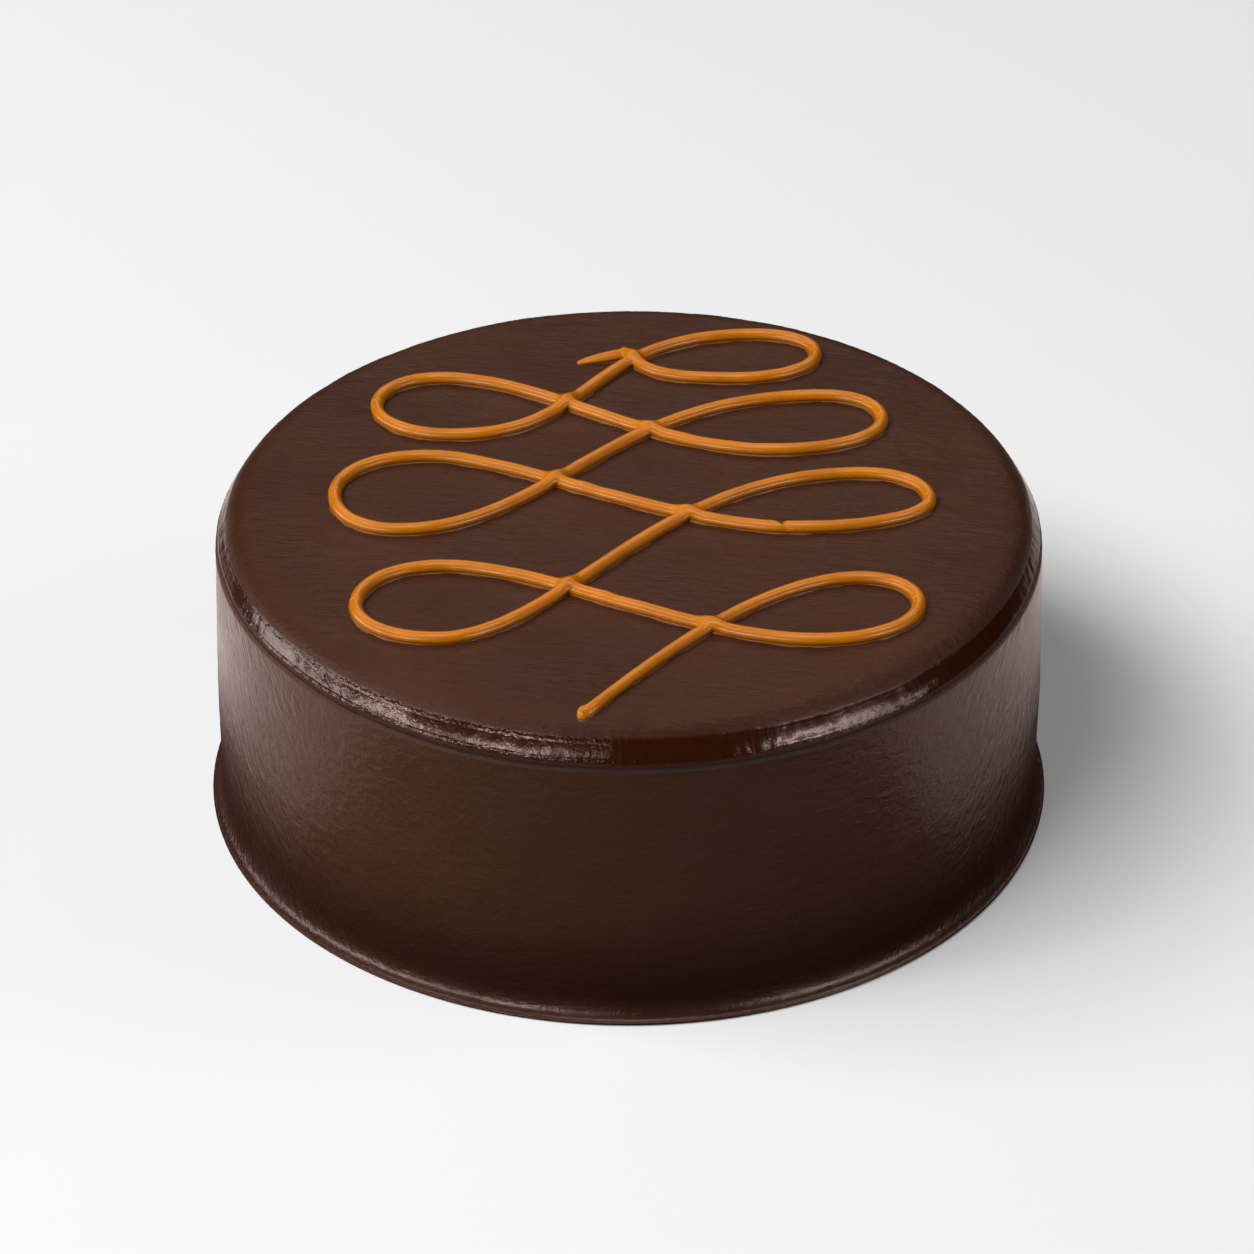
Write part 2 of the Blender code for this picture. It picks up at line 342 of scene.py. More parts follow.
def disc_faces(rings):
    """Triangles of a disc whose ring k has 6k points, after one point in the middle."""
    faces = []
    start = 1
    inner = np.array([0])
    for ring in range(1, rings + 1):
        outer = start + np.arange(6 * ring)
        side, place = np.divmod(np.arange(6 * ring), ring)
        near = inner[(side * (ring - 1) + place) % len(inner)]
        faces += np.stack([near, outer, np.roll(outer, -1)], axis=1).tolist()
        gaps = place < ring - 1
        near_next = inner[(side * (ring - 1) + place + 1) % len(inner)]
        faces += np.stack([near, np.roll(outer, -1), near_next], axis=1)[gaps].tolist()
        inner = outer
        start += 6 * ring
    return faces, inner


def off_line(x, y, start, end):
    """How far points are from a straight line between two others."""
    along_x, along_y = end[0] - start[0], end[1] - start[1]
    from_x, from_y = x - start[0], y - start[1]
    share = np.clip((from_x * along_x + from_y * along_y) / (along_x ** 2 + along_y ** 2), 0, 1)
    return np.hypot(from_x - share * along_x, from_y - share * along_y)


def top_relief(x, y, over):
    """Height of the cap's relief in mm. over is the distance over the rim from the flat top."""
    across = y - DRAG_LEAN * np.tanh(-x / DRAG_LEAN_REACH) * x
    strength = RIPPLE_STRENGTH + layer_height(RIPPLE_PATCHES, x, y)
    height = layer_height(TOP_SWELL, x, y) + layer_height(TOP_DRAGS, x, across)
    height += strength * layer_height(TOP_RIPPLES, x, across)
    height += layer_height(TOP_DIMPLES, x, y) + layer_height(TOP_FOLDS, x, across)
    for start, end, depth, width in SCRATCHES:
        height -= depth * np.exp(-(off_line(x, y, start, end) / width) ** 2)
    for pit_x, pit_y in PITS:
        height -= PIT_DEPTH * np.exp(-(np.hypot(x - pit_x, y - pit_y) / PIT_SIZE) ** 2)
    around = np.arctan2(y, x) * RIM_RADIUS
    flat = 1 - smooth_step(over, *TOP_RELIEF_ENDS_OVER)
    height *= TOP_RELIEF_ON_RIM + (1 - TOP_RELIEF_ON_RIM) * flat
    rim = smooth_step(over, *RIM_RELIEF_BY_OVER)
    return height + rim * sum(layer_height(layer, around, over) for layer in RIM_LAYERS)


def wall_relief(azimuth, z):
    """Height of the wall's relief in mm, in each direction at a height."""
    around = azimuth * MIDDLE_RADIUS
    height = sum(layer_height(layer, around, z) for layer in WALL_LAYERS)
    ripples = np.exp(-(((z - RIPPLES_HEIGHT) / RIPPLES_REACH) ** 2))
    height += ripples * layer_height(WALL_RIPPLES, around, z)
    height += (1 - smooth_step(z, *TRACKS_END)) * layer_height(WALL_TRACKS, around, z)
    sides = smooth_step(np.abs(np.cos(azimuth)), *STREAKS_BY_SIDE)
    leaning = around - STREAK_LEAN * z * np.sign(np.cos(azimuth))
    height += sides * layer_height(WALL_STREAKS, leaning, z)
    return height


def place_on(radius, height, azimuth):
    """Points in space from their distance from the axis, their height and their direction."""
    x, y = radius * np.cos(azimuth), radius * np.sin(azimuth)
    return np.stack(np.broadcast_arrays(x, y, height), axis=-1)


def flat_top():
    """The points and faces of the flat top, and the row of points at its edge."""
    rings = [np.array([[0.0, 0.0, CAKE_HEIGHT]])]
    for ring in range(1, TOP_RINGS + 1):
        azimuth = FULL_TURN * np.arange(6 * ring) / (6 * ring)
        rings.append(place_on(RIM_START * ring / TOP_RINGS, CAKE_HEIGHT, azimuth))
    faces, edge = disc_faces(TOP_RINGS)
    return np.concatenate(rings), faces, edge


def make_cap():
    """The icing's top and rim."""
    base, faces, inner = flat_top()
    normal = np.tile((0.0, 0.0, 1.0), (len(base), 1))
    over = np.zeros(len(base))
    columns = len(inner)
    azimuth = FULL_TURN * np.arange(columns) / columns
    climb = crease_climb(azimuth)
    curve = even_line(rim_curve(), RIM_STEP)
    profile = np.concatenate([curve, curve[-1] + LIP_ROLL])
    normals = profile_normals(profile)
    lengths = lengths_along(profile)
    lip = lengths[len(curve) - 1]
    for place in range(1, len(profile)):
        share = smooth_step(lengths[place], CLIMB_SETS_IN_OVER, lip)
        along = np.minimum(lengths[place], lip) - share * climb
        radius, height = (np.interp(along, lengths, profile[:, axis]) for axis in (0, 1))
        if place >= len(curve):
            inwards, upwards = LIP_ROLL[place - len(curve)]
            radius, height = radius + inwards, height + upwards
        out, up = normals[place]
        row = len(base) + np.arange(columns)
        base = np.concatenate([base, place_on(radius, height, azimuth)])
        normal = np.concatenate([normal, place_on(out, up, azimuth)])
        over = np.concatenate([over, np.full(columns, lengths[place])])
        faces += ring_faces(inner, row)
        inner = row
    faces.append(inner[::-1].tolist())
    x, y = base[:, 0], base[:, 1]
    radius = np.hypot(x, y)
    bulges = bulge(np.arctan2(y, x)) * smooth_step(radius, *BULGES_BY_RADIUS)
    stretch = 1 + bulges / np.maximum(radius, 1)
    points = base * np.stack([stretch, stretch, np.ones_like(stretch)], axis=1)
    cap = mesh_object("icing_cap", points + normal * top_relief(x, y, over)[:, None], faces)
    add_values(cap, "over_rim", over)
    return cap


def add_values(obj, name, values):
    """Keeps a value at each point of a mesh for its material."""
    layer = obj.data.attributes.new(name, "FLOAT", "POINT")
    layer.data.foreach_set("value", np.asarray(values, np.float32))


def quarter_round(start, out, down, count):
    """Points after the start of a quarter round that sets off straight down, as (radius, height)."""
    angles = np.linspace(0, math.pi / 2, count)[1:]
    return np.add(start, np.stack([out * (1 - np.cos(angles)), -down * np.sin(angles)], axis=1))


def wall_profile():
    """The wall's line from under the lip down to the floor, as (radius, height)."""
    foot_top = FOOT_EDGE + FLARE_HEIGHT
    side = (WALL_TOP[-1], (MIDDLE_RADIUS, MIDDLE_HEIGHT), (MIDDLE_RADIUS, foot_top))
    flare = quarter_round(side[-1], FOOT_RADIUS - MIDDLE_RADIUS, FLARE_HEIGHT, FLARE_POINTS)
    edge = quarter_round((FOOT_RADIUS, FOOT_EDGE), -FOOT_EDGE, FOOT_EDGE, EDGE_POINTS)
    return np.concatenate([WALL_TOP, even_line(side, WALL_STEP)[1:], flare, edge])


def make_wall():
    """The icing's side and foot."""
    profile = wall_profile()
    azimuth = FULL_TURN * np.arange(WALL_COLUMNS) / WALL_COLUMNS
    climb = WALL_CLIMB_SHARE * crease_climb(azimuth)
    points = []
    for (radius, height), (out, up) in zip(profile, profile_normals(profile)):
        relief = wall_relief(azimuth, height)
        relief *= smooth_step(height, *WALL_RELIEF_BY_HEIGHT)
        relief *= 1 - smooth_step(height, *WALL_RELIEF_ENDS)
        grown = radius + bulge(azimuth) * smooth_step(height, *BULGES_BY_HEIGHT)
        ring = place_on(grown, height + climb * smooth_step(height, *CLIMB_BY_HEIGHT), azimuth)
        points.append(ring + place_on(out, up, azimuth) * relief[:, None])
    points = np.concatenate(points)
    wall = mesh_object("icing_wall", points, tube_faces(len(points), WALL_COLUMNS))
    hidden = smooth_step(profile[:, 1], *UNDER_RIM_BY_HEIGHT)
    add_values(wall, "under_rim", np.repeat(hidden, WALL_COLUMNS))
    return wall


def icing_height(radius):
    """The height of the icing's top at this distance from the axis."""
    curve = rim_curve()
    return np.interp(radius, curve[:, 0], curve[:, 1])


def spaced_bezier(start, start_handle, end_handle, end):
    """Points on a cubic curve about one step of the bead apart, leaving out its last one."""
    span = np.linalg.norm(np.subtract(end, start))
    handles = np.linalg.norm(np.subtract(start_handle, start)) + np.linalg.norm(np.subtract(end, end_handle))
    count = max(FEWEST_BEAD_STEPS, round((span + HANDLE_SHARE * handles) / BEAD_STEP))
    return bezier(start, start_handle, end_handle, end, count)


def route():
    """The centre line of the piping, and the places in it of the loops' tips."""
    parts = [bezier(START, *START_BEND, START_STEPS)]
    tips = []
    count = len(parts[0])
    previous = np.array(START_BEND[-1])
    leaving = previous + START_HANDLE
    away = np.array((0.0, 1.0))
    for number, loop in enumerate(LOOPS):
        out = np.array((1.0 if number % 2 == 0 else -1.0, 0.0))
        back, tip, front = (np.array(point) for point in (loop.back, loop.tip, loop.front))
        round_back = np.abs(LOOP_ROUNDNESS * (tip - back))
        round_front = np.abs(LOOP_ROUNDNESS * (tip - front))
        parts.append(spaced_bezier(previous, leaving, back - out * loop.swing_in, back))
        parts.append(spaced_bezier(back, back + out * round_back[0], tip + away * round_back[1], tip))
        count += len(parts[-1]) + len(parts[-2])
        tips.append(count)
        parts.append(spaced_bezier(tip, tip - away * round_front[1], front + out * round_front[0], front))
        count += len(parts[-1])
        previous = front
        leaving = front - out * loop.swing_out
    hook = np.array(HOOK)
    parts.append(spaced_bezier(previous, leaving, hook + HOOK_HANDLE, hook))
    parts.append(hook[None])
    return np.concatenate(parts), tips


def crossing_of(under, over):
    """The point where one stretch of the line passes over another."""
    a, b = under[:-1, None], under[1:, None] - under[:-1, None]
    c, d = over[None, :-1], over[None, 1:] - over[None, :-1]
    gap = c - a
    turn = b[..., 0] * d[..., 1] - b[..., 1] * d[..., 0]
    turn = np.where(np.abs(turn) < PARALLEL, PARALLEL, turn)
    along_b = (gap[..., 0] * d[..., 1] - gap[..., 1] * d[..., 0]) / turn
    along_d = (gap[..., 0] * b[..., 1] - gap[..., 1] * b[..., 0]) / turn
    hits = np.argwhere((along_b >= 0) & (along_b <= 1) & (along_d >= 0) & (along_d <= 1))
    place, other = hits[0]
    return under[place] + along_b[place, other] * (under[place + 1] - under[place])


def bead_sizes(points, first_tip):
    """The bead's width and height along the route: thin at the start, with the unevenness of a hand."""
    along = lengths_along(points)
    start = 1 - START_THINNING * np.clip(1 - along / (START_REACH * along[first_tip]), 0, 1)
    width = sum((layer_height(layer, along) for layer in WIDTH_LAYERS), 1.0)
    height = sum((layer_height(layer, along) for layer in HEIGHT_LAYERS), 1.0)
    for x, y, reach, gain in LUMPS:
        near = np.exp(-(np.linalg.norm(points - (x, y), axis=1) / reach) ** 2)
        width += gain * near
        height += gain * near
    return BEAD_WIDTH * start * width, BEAD_HEIGHT * start * height


def nose(stretch, end, inner):
    """Shrinking stations past an end of the bead, from the inside out, that close it in a round nose."""
    angles = math.pi / 2 * np.arange(1, NOSE_STEPS + 1) / (NOSE_STEPS + 1)
    outward = stretch.centre[end] - stretch.centre[inner]
    outward = outward / np.linalg.norm(outward)
    reach = stretch.width[end] / 2
    return Stretch(
        stretch.centre[end] + outward * (reach * np.sin(angles))[:, None],
        stretch.width[end] * np.cos(angles), stretch.height[end] * np.cos(angles),
        np.full(NOSE_STEPS, stretch.lift[end]),
    )


def joined(*stretches):
    """One stretch from several, end to end."""
    return Stretch(*(np.concatenate(parts) for parts in zip(*stretches)))


def turned_round(stretch):
    """The same stretch, laid the other way."""
    return Stretch(*(part[::-1] for part in stretch))


def section():
    """The bead's cross-section as closed rows of shares across and up, from the crest to the left."""
    half = np.array(CREST_TO_FOOT)
    return np.concatenate([half * (-1, 1), half[:0:-1]])


def bead_mesh(stretch, crossings):
    """A closed bead swept along a stretch, as points and faces. It swells where another one touches it."""
    forward = np.gradient(stretch.centre, axis=0)
    forward /= np.linalg.norm(forward, axis=1)[:, None]
    sideways = np.stack([forward[:, 1], -forward[:, 0]], axis=1)
    across, up = section().T
    share = np.clip(up / LIFTED_FROM, 0, 1)
    free = smooth_step(up, *BLEND_BY_HEIGHT)
    across = across * stretch.width[:, None] / 2
    up = up * stretch.height[:, None]
    out_across, out_up = np.gradient(up, axis=1), -np.gradient(across, axis=1)
    length = np.hypot(out_across, out_up)
    out_across, out_up = out_across / length, out_up / length
    flat = stretch.centre[:, None] + sideways[:, None] * across[..., None]
    ground = icing_height(np.linalg.norm(flat, axis=-1))
    height = ground + up + stretch.lift[:, None] * share
    for point, other in crossings:
        near = np.linalg.norm(stretch.centre - point, axis=1) < BLEND_WINDOW
        gap = gap_to(other, flat[near], height[near])
        away = np.linalg.norm(flat[near] - point, axis=-1)
        fade = 1 - smooth_step(away, BLEND_IN_FULL * BLEND_WINDOW, BLEND_WINDOW)
        grown = fade * free * BLEND / 4 * np.clip(1 - gap / BLEND, 0, 1) ** 2
        flat[near] += sideways[near][:, None] * (grown * out_across[near])[..., None]
        height[near] += grown * out_up[near]
    points = np.concatenate([flat, height[..., None]], axis=-1).reshape(-1, 3)
    return points, tube_faces(len(points), len(across[0]))


def gap_to(other, flat, height):
    """About how far points are from the surface of another stretch of the bead."""
    apart = np.linalg.norm(flat[..., None, :] - other.centre, axis=-1)
    nearest = np.argmin(apart, axis=-1)
    apart = np.take_along_axis(apart, nearest[..., None], axis=-1)[..., 0]
    half_width = other.width[nearest] / 2
    half_height = other.height[nearest] * (1 - BEAD_MIDDLE)
    middle = CAKE_HEIGHT + other.height[nearest] * BEAD_MIDDLE + other.lift[nearest]
    share = np.hypot(apart / half_width, (height - middle) / half_height)
    return (share - 1) * np.minimum(half_width, half_height)


def line_stretches():
    """The line cut at the loops' tips into stretches that don't cross themselves, and its crossings."""
    points, tips = route()
    width, height = bead_sizes(points, tips[0])
    starts = [0] + tips
    ends = tips + [len(points) - 1]
    bare = []
    crossings = []
    for first, last in zip(starts, ends):
        centre = points[first:last + 1]
        lift = np.zeros(len(centre))
        if bare:
            crossing = crossing_of(bare[-1].centre, centre)
            crossings.append(crossing)
            distance = np.minimum(1, np.linalg.norm(centre - crossing, axis=1) / CROSSING_REACH)
            lift = CROSSING_LIFT * (1 + np.cos(math.pi * distance)) / 2
        bare.append(Stretch(centre, width[first:last + 1], height[first:last + 1], lift))
    stretches = []
    for number, stretch in enumerate(bare):
        first, last = starts[number], ends[number]
        if number == 0:
            before = turned_round(nose(stretch, 0, 1))
        else:
            before = hidden_end(points, width, height, first - 1)
            stretch.width[0] *= JOIN_SCALE
            stretch.height[0] *= JOIN_SCALE
        if number == len(bare) - 1:
            after = nose(stretch, -1, -2)
        else:
            after = hidden_end(points, width, height, last + 1)
        stretches.append(joined(before, stretch, after))
    return stretches, crossings


def hidden_end(points, width, height, place):
    """One thin station inside the neighbouring stretch."""
    return Stretch(
        points[place][None], width[place:place + 1] * INSIDE_SCALE,
        height[place:place + 1] * INSIDE_SCALE, np.zeros(1),
    )


def tail():
    """The short tail that ends the line: broad at the hook, and drawn out to a low point."""
    along = np.linspace(0, 1, TAIL_POINTS)
    scale = np.sqrt(1 - (TAIL_TAPER * along) ** 2)
    start, end = np.array(HOOK), np.array(TAIL_END)
    centre = start + along[:, None] * (end - start)
    stretch = Stretch(centre, TAIL_WIDTH * scale, TAIL_HEIGHT * scale, 0 * along)
    return joined(turned_round(nose(stretch, 0, 1)), stretch)


def make_caramel():
    """The whole caramel line as one closed mesh."""
    stretches, crossings = line_stretches()
    caramel = None
    for number, stretch in enumerate(stretches):
        touching = []
        if number > 0:
            touching.append((crossings[number - 1], stretches[number - 1]))
        if number < len(crossings):
            touching.append((crossings[number], stretches[number + 1]))
        caramel = united(caramel, mesh_object("caramel_line", *bead_mesh(stretch, touching)))
    caramel = united(caramel, mesh_object("caramel_line", *bead_mesh(tail(), [])))
    finish_caramel(caramel, crossings)
    return caramel


def united(whole, piece):
    """One closed mesh from two that overlap."""
    if whole is None:
        return piece
    union = whole.modifiers.new("union", "BOOLEAN")
    union.operation = "UNION"
    union.solver = "MANIFOLD"
    union.object = piece
    bpy.context.view_layer.update()
    graph = bpy.context.evaluated_depsgraph_get()
    mesh = bpy.data.meshes.new_from_object(whole.evaluated_get(graph), depsgraph=graph)
    whole.modifiers.clear()
    whole.data = mesh
    bpy.data.objects.remove(piece, do_unlink=True)
    return whole


def rise_over_icing(points):
    """How high points lie over the icing's flat top and rim, in mm."""
    return points[:, 2] - icing_height(np.hypot(points[:, 0], points[:, 1]))


def finish_caramel(caramel, crossings):
    """Softens the crossings, cuts the nick and marks the thin film at the bead's foot."""
    shape = bmesh.new()
    shape.from_mesh(caramel.data)
    bmesh.ops.remove_doubles(shape, verts=shape.verts, dist=SAME_POINT * MM)
    points = np.array([vertex.co for vertex in shape.verts]) / MM
    near = np.min([np.linalg.norm(points[:, :2] - crossing, axis=1) for crossing in crossings], axis=0)
    chosen = (near < SOFTENED) & (rise_over_icing(points) > SOFTENED_ABOVE)
    soft = [vertex for vertex, choice in zip(shape.verts, chosen) if choice]
    for _ in range(SOFTENING_ROUNDS):
        bmesh.ops.smooth_vert(
            shape, verts=soft, factor=SOFTENING_STRENGTH, use_axis_x=True, use_axis_y=True, use_axis_z=True,
        )
    shape.to_mesh(caramel.data)
    shape.free()
    caramel.data.shade_smooth()
    points = np.empty(len(caramel.data.vertices) * 3)
    caramel.data.vertices.foreach_get("co", points)
    points = points.reshape(-1, 3) / MM
    rise = rise_over_icing(points)
    start, end = np.array(NICK)
    along = np.clip(((points[:, :2] - start) @ (end - start)) / np.sum((end - start) ** 2), 0, 1)
    away = off_line(points[:, 0], points[:, 1], start, end)
    depth = NICK_DEPTH * (1 - NICK_FADE * along) * np.exp(-(away / NICK_WIDTH) ** 2)
    depth *= smooth_step(rise, *NICK_BY_RISE)
    points[:, 2] -= depth
    points[:, 1] -= NICK_DRAG * depth * (1 - along)
    caramel.data.vertices.foreach_set("co", (points * MM).ravel())
    add_values(caramel, "film", 1 - smooth_step(rise, *FILM_BY_RISE))


# Fine relief in the materials. As noise: forms to a metre, detail, roughness, distortion, and height in mm.
# As scattered specks: cells to a metre, and reach and height in mm.
Grain = namedtuple("Grain", "per_metre detail roughness distortion height")
Specks = namedtuple("Specks", "per_metre reach height")
TOP_GRAIN = Grain(1100, 2, 0.6, 0.0, 0.085)
TOP_STROKES = Grain(520, 3, 0.6, 0.8, 0.42)
RIM_WRINKLES = Grain(480, 2, 0.5, 1.6, 0.06)
RIM_COMB = Grain(1000, 1, 0.55, 0.0, 0.035)
RIM_EDGE_WRINKLES = Grain(700, 1, 0.5, 1.5, 0.10)
WALL_GRAIN = Grain(1200, 2, 0.6, 0.0, 0.055)
WALL_WAVES = Grain(330, 2, 0.5, 0.8, 0.13)
WALL_STROKES = Grain(520, 3, 0.6, 0.6, 1.0)
CAP_PITS = Specks(85, 0.30, -0.20)
CAP_SPECKS = Specks(130, 0.22, 0.09)
WALL_PITS = Specks(70, 0.22, -0.10)
CAP_SPECKS_AWAY = (0.5, 0.5, 0.5)

# The values by which cells get a speck, and the share of a band or speck that has its full height.
CHOSEN_CELLS = (0.5, 0.9)
FULL_IN_BAND = 0.3
FULL_IN_SPECK = 0.35

# How the strokes are drawn out and turned: the top's from side to side, the wall's slanting.
TOP_STROKE_SCALE = (0.30, 1.1, 1.0)
TOP_STROKE_TURN = (0.0, 0.0, 0.15)
WALL_STROKE_SCALE = (1.0, 1.0, 0.16)
WALL_STROKE_TURN = (0.75, 0.0, 0.0)
WALL_WAVE_SCALE = (1.0, 1.0, 1.6)
COMB_OVER_SCALE = 0.35

# Where the materials change over the rim, as the distance from the flat top in mm: from the flat's relief
# to the rim's, from the top's colour to the rim's, and to the dull lip. The rim's edges wrinkle in two
# bands, as (middle, reach).
FLAT_RELIEF_ENDS = (6.5, 9.0)
RIM_RELIEF_FROM = (7.0, 9.0)
RIM_COLOUR_FROM = (7.6, 8.9)
LIP_FROM = (13.6, 15.0)
WRINKLED_EDGES = ((8.6, 1.3), (13.6, 0.8))

# Where the materials change from place to place, in m: the rim's wrinkles lessen to a share to the right,
# the wall's strokes grow towards both sides, in mm high, and its foot is darkened by painted shade and a
# painted dark reflection.
WRINKLES_LESSEN = (0.0, 0.04)
WRINKLES_LEFT_OVER = 0.3
STROKES_GROW = (0.042, 0.094)
STROKES_HEIGHT = (0.06, 0.42)
FOOT_PAINTED_SHADE_ENDS = (0.008, 0.030)

# Colours, as linear red, green and blue, and 1 for solid.
ICING = (0.0284, 0.0077, 0.0024, 1.0)
ICING_PATCHES = (0.0340, 0.0096, 0.0032, 1.0)
ICING_MOTTLE = (0.0224, 0.0059, 0.0019, 1.0)
ICING_RIM = (0.0212, 0.0045, 0.0011, 1.0)
ICING_WALL = (0.0490, 0.0190, 0.0096, 1.0)
# The wall's foot colour is painted shade and a painted dark reflection.
ICING_FOOT_PAINTED_SHADE = (0.0245, 0.0074, 0.0032, 1.0)
ICING_SHINE_TINT = (1.0, 0.74, 0.66, 1.0)
CARAMEL = (0.345, 0.101, 0.0002, 1.0)
CARAMEL_PATCHES = (0.405, 0.119, 0.0003, 1.0)
CARAMEL_FILM = (0.10, 0.038, 0.012, 1.0)
BLACK = (0.0, 0.0, 0.0, 1.0)
WHITE = (1.0, 1.0, 1.0, 1.0)

# The noise that they change by: its forms to a metre, and between which of its values; for the mottle also
# its detail. Then the strongest mottle, and how much of the wall's colour is its own.
ICING_COLOUR_NOISE = (28, 0.35, 0.65)
CARAMEL_COLOUR_NOISE = (120, 0.35, 0.65)
MOTTLE_NOISE = (420, 4)
MOTTLE_BY_NOISE = (0.35, 0.75)
MOTTLE_SHARE = 0.35
WALL_COLOUR_SHARE = 0.75

# The shine: roughness, with its noise where it changes, refractive index and coat.
ICING_ROUGHNESS_NOISE = (60, 0.3, 0.7)
TOP_ROUGHNESS = (0.46, 0.56)
WALL_ROUGHNESS = (0.28, 0.35)
RIM_ROUGHNESS = 0.17
LIP_ROUGHNESS = 0.80
CAP_INDEX = 1.40
WALL_INDEX = 1.60
CARAMEL_ROUGHNESS_NOISE = (300, 0.3, 0.7)
CARAMEL_ROUGHNESS = (0.40, 0.50)
CARAMEL_INDEX = 1.15
CARAMEL_COAT = 0.80
CARAMEL_COAT_ROUGHNESS = 0.22

# The caramel's own slight unevenness: forms to a metre, strength and height in mm.
CARAMEL_BUMPS_PER_METRE = 700
CARAMEL_BUMP_STRENGTH = 0.06
CARAMEL_BUMP_HEIGHT = 0.2


class Nodes:
    """Builds a node tree from short calls."""

    def __init__(self, tree):
        self.tree = tree
        tree.nodes.clear()

    def add(self, kind, inputs=(), output=0, **settings):
        made = self.tree.nodes.new(kind)
        for key, value in settings.items():
            setattr(made, key, value)
        for key, value in dict(inputs).items():
            if isinstance(value, bpy.types.NodeSocket):
                self.tree.links.new(value, made.inputs[key])
            else:
                made.inputs[key].default_value = value
        return made.outputs[output] if made.outputs else None

    def axis(self, where, name):
        return self.add("ShaderNodeSeparateXYZ", {"Vector": where}, output=name)

    def attribute(self, name):
        return self.add("ShaderNodeAttribute", output="Fac", attribute_name=name)

    def noise(self, where, per_metre, detail=3.0, roughness=0.55, distortion=0.0):
        return self.add("ShaderNodeTexNoise", {
            "Vector": where, "Scale": per_metre, "Detail": detail, "Roughness": roughness,
            "Distortion": distortion,
        })

    def patches(self, where, per_metre, low, high, to_low=0.0, to_high=1.0):
        """Noise whose middle values are spread out."""
        return self.ramp(self.noise(where, per_metre), low, high, to_low, to_high)

    def scaled(self, where, scale):
        return self.add("ShaderNodeMapping", {"Vector": where, "Scale": scale})

    def turned(self, where, turn):
        return self.add("ShaderNodeMapping", {"Vector": where, "Rotation": turn})

    def ramp(self, value, low, high, to_low=0.0, to_high=1.0):
        return self.add("ShaderNodeMapRange", {
            "Value": value, "From Min": low, "From Max": high, "To Min": to_low, "To Max": to_high,
        }, interpolation_type="SMOOTHSTEP")

    def math(self, operation, first, second=0.0):
        return self.add("ShaderNodeMath", {0: first, 1: second}, operation=operation)

    def vector(self, operation, first, second):
        return self.add("ShaderNodeVectorMath", {0: first, 1: second}, operation=operation)

    def distance(self, first, second):
        return self.add("ShaderNodeVectorMath", {0: first, 1: second}, output="Value", operation="DISTANCE")

    def combined(self, operation, values):
        """One value from two or more, such as their sum or product."""
        values = list(values)
        while len(values) > 1:
            values.append(self.math(operation, values.pop(0), values.pop(0)))
        return values[0]

    def surface(self, inputs):
        """The one shader of a material."""
        shader = self.add("ShaderNodeBsdfPrincipled", inputs)
        self.add("ShaderNodeOutputMaterial", {"Surface": shader})

    def relief(self, where, grain, *masks):
        """The height of a grain in mm where the masks let it through."""
        noise = self.noise(where, grain.per_metre, grain.detail, grain.roughness, grain.distortion)
        return self.combined("MULTIPLY", (noise, *masks, grain.height))

    def band(self, value, middle, reach):
        """1 in the middle of a band of values, falling to 0 at its edges."""
        away = self.math("ABSOLUTE", self.math("SUBTRACT", value, middle))
        return self.ramp(away, FULL_IN_BAND * reach, reach, 1.0, 0.0)

    def specks(self, where, specks):
        """Scattered small dents or specks in about half of the cells, as their height in mm."""
        cell = {"Vector": where, "Scale": specks.per_metre}
        colour = self.add("ShaderNodeTexVoronoi", cell, output="Color")
        chosen = self.ramp(self.axis(colour, "X"), *CHOSEN_CELLS)
        reach = specks.reach * MM * specks.per_metre
        away = self.add("ShaderNodeTexVoronoi", cell)
        height = self.ramp(away, FULL_IN_SPECK * reach, reach, specks.height, 0.0)
        return self.math("MULTIPLY", height, chosen)

    def blend(self, factor, first, second):
        """One value that goes from the first to the second."""
        return self.add("ShaderNodeMix", {0: factor, 2: first, 3: second})

    def mix(self, factor, first, second):
        """One colour that goes from the first to the second. Sockets 6 and 7 are the node's colours."""
        inputs = {0: factor, 6: first, 7: second}
        return self.add("ShaderNodeMix", inputs, output=2, data_type="RGBA")


def new_material(name):
    """A material, its nodes, and the place in the object that its textures read."""
    material = bpy.data.materials.new(name)
    material.use_nodes = True
    nodes = Nodes(material.node_tree)
    return material, nodes, nodes.add("ShaderNodeTexCoord", output="Object")


def icing_colour(nodes, where):
    """The icing's mottled brown."""
    colour = nodes.mix(nodes.patches(where, *ICING_COLOUR_NOISE), ICING, ICING_PATCHES)
    mottle = nodes.ramp(nodes.noise(where, *MOTTLE_NOISE), *MOTTLE_BY_NOISE, 0.0, MOTTLE_SHARE)
    return nodes.mix(mottle, colour, ICING_MOTTLE)


def icing_shader(nodes, colour, roughness, index, heights):
    """Satin icing with a refractive index and fine relief, the sum of heights in mm."""
    height = nodes.combined("ADD", heights)
    bump = nodes.add("ShaderNodeBump", {"Height": height, "Strength": 1.0, "Distance": MM})
    nodes.surface({
        "Base Color": colour, "Roughness": roughness, "IOR": index, "Normal": bump,
        "Specular Tint": ICING_SHINE_TINT,
    })


def cap_material():
    """The top's satin icing, and the rim's, which is darker and shinier down to its dull lip."""
    material, nodes, where = new_material("icing_cap")
    over = nodes.attribute("over_rim")
    rim = nodes.ramp(over, *RIM_COLOUR_FROM)
    colour = nodes.mix(rim, icing_colour(nodes, where), ICING_RIM)
    roughness = nodes.patches(where, *ICING_ROUGHNESS_NOISE, *TOP_ROUGHNESS)
    roughness = nodes.blend(rim, roughness, RIM_ROUGHNESS)
    roughness = nodes.blend(nodes.ramp(over, *LIP_FROM), roughness, LIP_ROUGHNESS)
    icing_shader(nodes, colour, roughness, CAP_INDEX, cap_relief(nodes, where, over))
    return material


